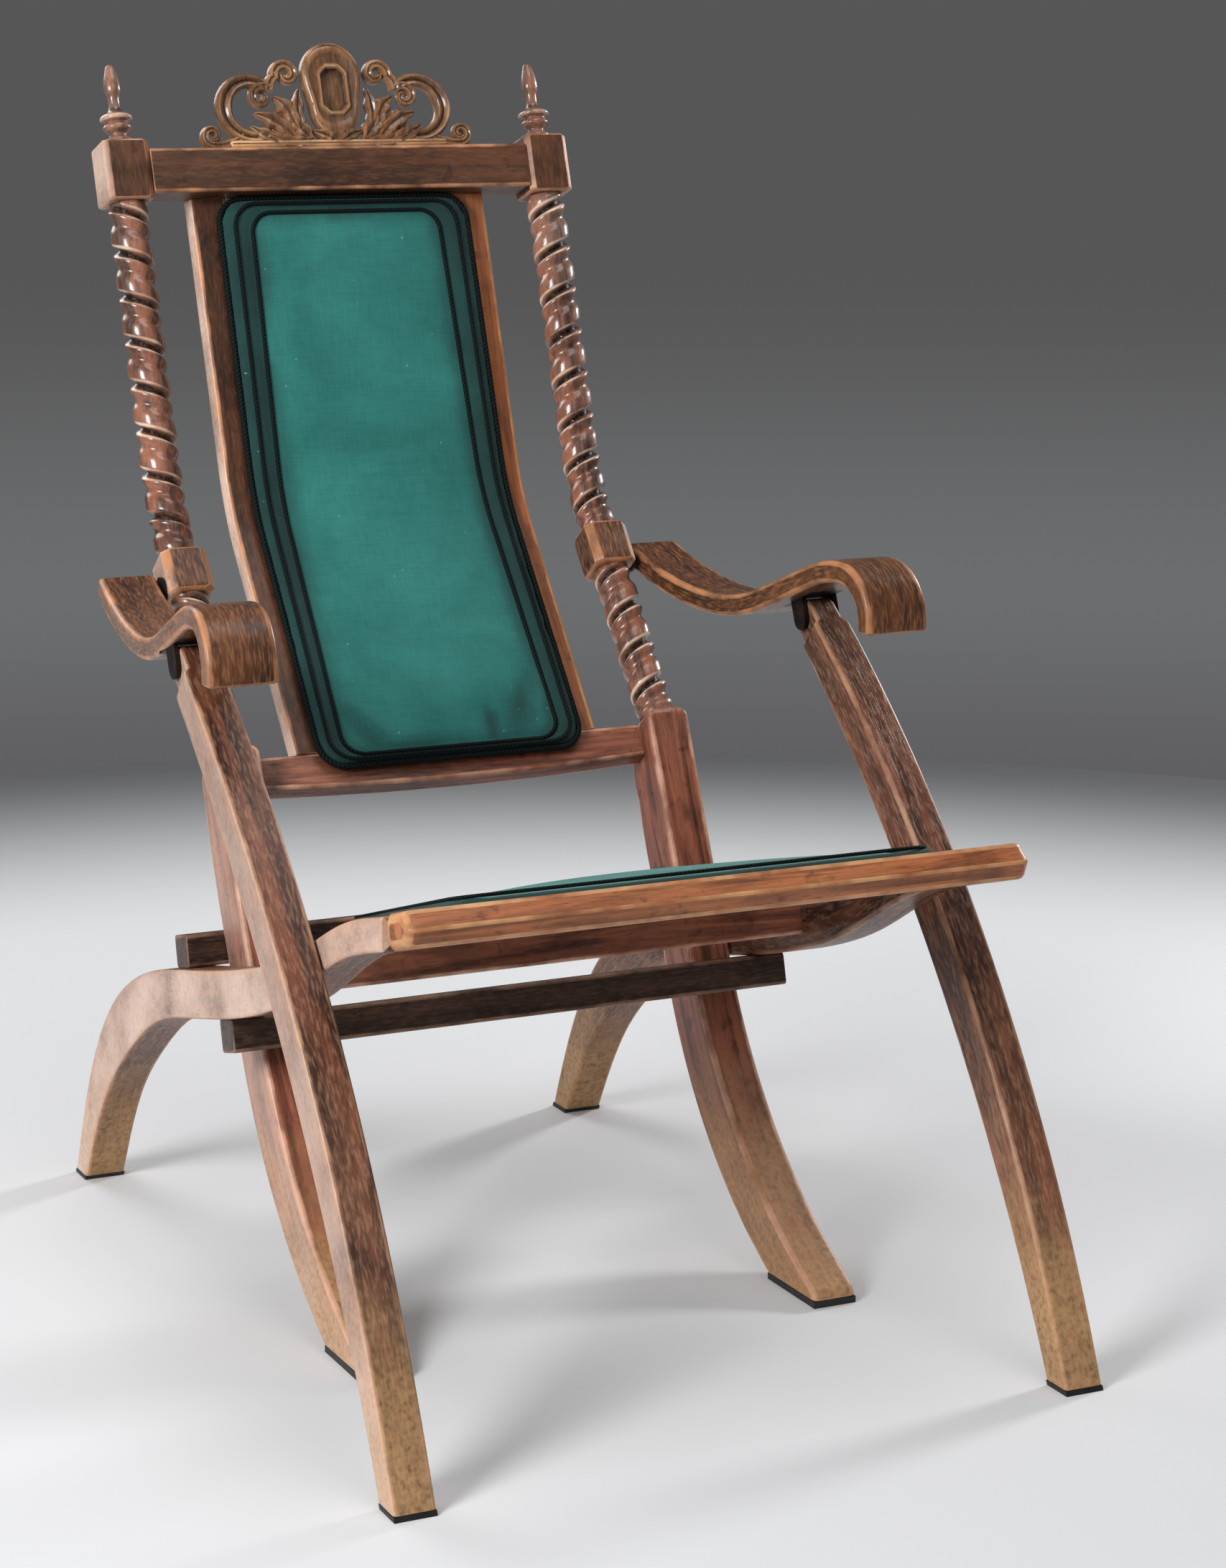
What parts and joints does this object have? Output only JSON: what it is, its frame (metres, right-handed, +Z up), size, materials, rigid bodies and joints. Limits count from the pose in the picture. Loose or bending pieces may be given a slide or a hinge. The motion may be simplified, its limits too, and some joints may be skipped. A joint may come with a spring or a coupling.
{
  "type": "folding campaign armchair",
  "caption": "Folding wooden armchair with an X-frame, barley-twist back posts, carved crest, serpentine arms on bowed front legs and green padded back and seat.",
  "frame": {"origin": "on the floor, midway across the chair and midway between the foremost and the rearmost foot", "axes": "+X across the chair, to the right when it is seen from the front; -Y is the way the sitter faces; +Z up"},
  "size_m": [0.676, 0.9421, 1.106],
  "materials": {
    "brown_wood": "worn reddish brown polish",
    "carved_wood": "worn golden brown polish",
    "green_cloth": "felted bottle green cloth",
    "dark_cord": "twisted dark green cord",
    "canvas": "plain woven linen",
    "foot_pad": "matt black",
    "iron": "dark blacksmith finish"
  },
  "bodies": {
    "back_frame": {"left_post": "brown_wood", "right_post": "brown_wood", "left_finial": "brown_wood", "right_finial": "brown_wood", "top_rail": "brown_wood", "crest_carving": "carved_wood", "bottom_rail": "brown_wood", "left_stile": "brown_wood", "right_stile": "brown_wood", "back_cloth": "canvas", "back_pad": "green_cloth", "back_binding": "dark_cord", "front_stretcher": "brown_wood", "rear_stretcher": "brown_wood", "frame_dowels": "brown_wood", "pivot_bolts": "iron", "pivot_washers": "iron", "arm_bolts": "iron", "arm_washers": "iron", "sabre_foot_pads": "foot_pad"},
    "seat_frame": {"left_seat_member": "brown_wood", "right_seat_member": "brown_wood", "front_rail": "brown_wood", "rear_rail": "brown_wood", "seat_dowels": "brown_wood", "seat_webbing": "canvas", "seat_pad": "green_cloth", "leg_studs": "iron", "rear_foot_pads": "foot_pad"},
    "left_arm": {"left_arm": "brown_wood", "left_leg_hinge": "iron", "left_hinge_pin": "iron", "left_hinge_screws": "iron"},
    "left_leg": {"left_front_leg": "brown_wood", "left_front_foot_pad": "foot_pad"},
    "right_arm": {"right_arm": "brown_wood", "right_leg_hinge": "iron", "right_hinge_pin": "iron", "right_hinge_screws": "iron"},
    "right_leg": {"right_front_leg": "brown_wood", "right_front_foot_pad": "foot_pad"}
  },
  "joints": [
    {"name": "seat_fold", "type": "hinge", "parent": "back_frame", "child": "seat_frame", "pos_m": [0, 0.095, 0.275], "axis": [-1, 0, 0], "range_deg": [0, 70]},
    {"name": "left_arm_fold", "type": "hinge", "parent": "back_frame", "child": "left_arm", "pos_m": [0, 0.28015, 0.61009], "axis": [-1, 0, 0], "range_deg": [0, 84.53]},
    {"name": "left_leg_fold", "type": "hinge", "parent": "left_arm", "child": "left_leg", "pos_m": [0, 0.01083, 0.5877], "axis": [-1, 0, 0], "range_deg": [-104.16, 0]},
    {"name": "right_arm_fold", "type": "hinge", "parent": "back_frame", "child": "right_arm", "pos_m": [0, 0.28015, 0.61009], "axis": [-1, 0, 0], "range_deg": [0, 84.53]},
    {"name": "right_leg_fold", "type": "hinge", "parent": "right_arm", "child": "right_leg", "pos_m": [0, 0.01083, 0.5877], "axis": [-1, 0, 0], "range_deg": [-104.16, 0]}
  ],
  "couplings": [
    {"joint": "left_arm_fold", "follows": "seat_fold", "ratio": 1.2004},
    {"joint": "left_leg_fold", "follows": "seat_fold", "ratio": -1.4809},
    {"joint": "right_arm_fold", "follows": "seat_fold", "ratio": 1.2004},
    {"joint": "right_leg_fold", "follows": "seat_fold", "ratio": -1.4809}
  ]
}
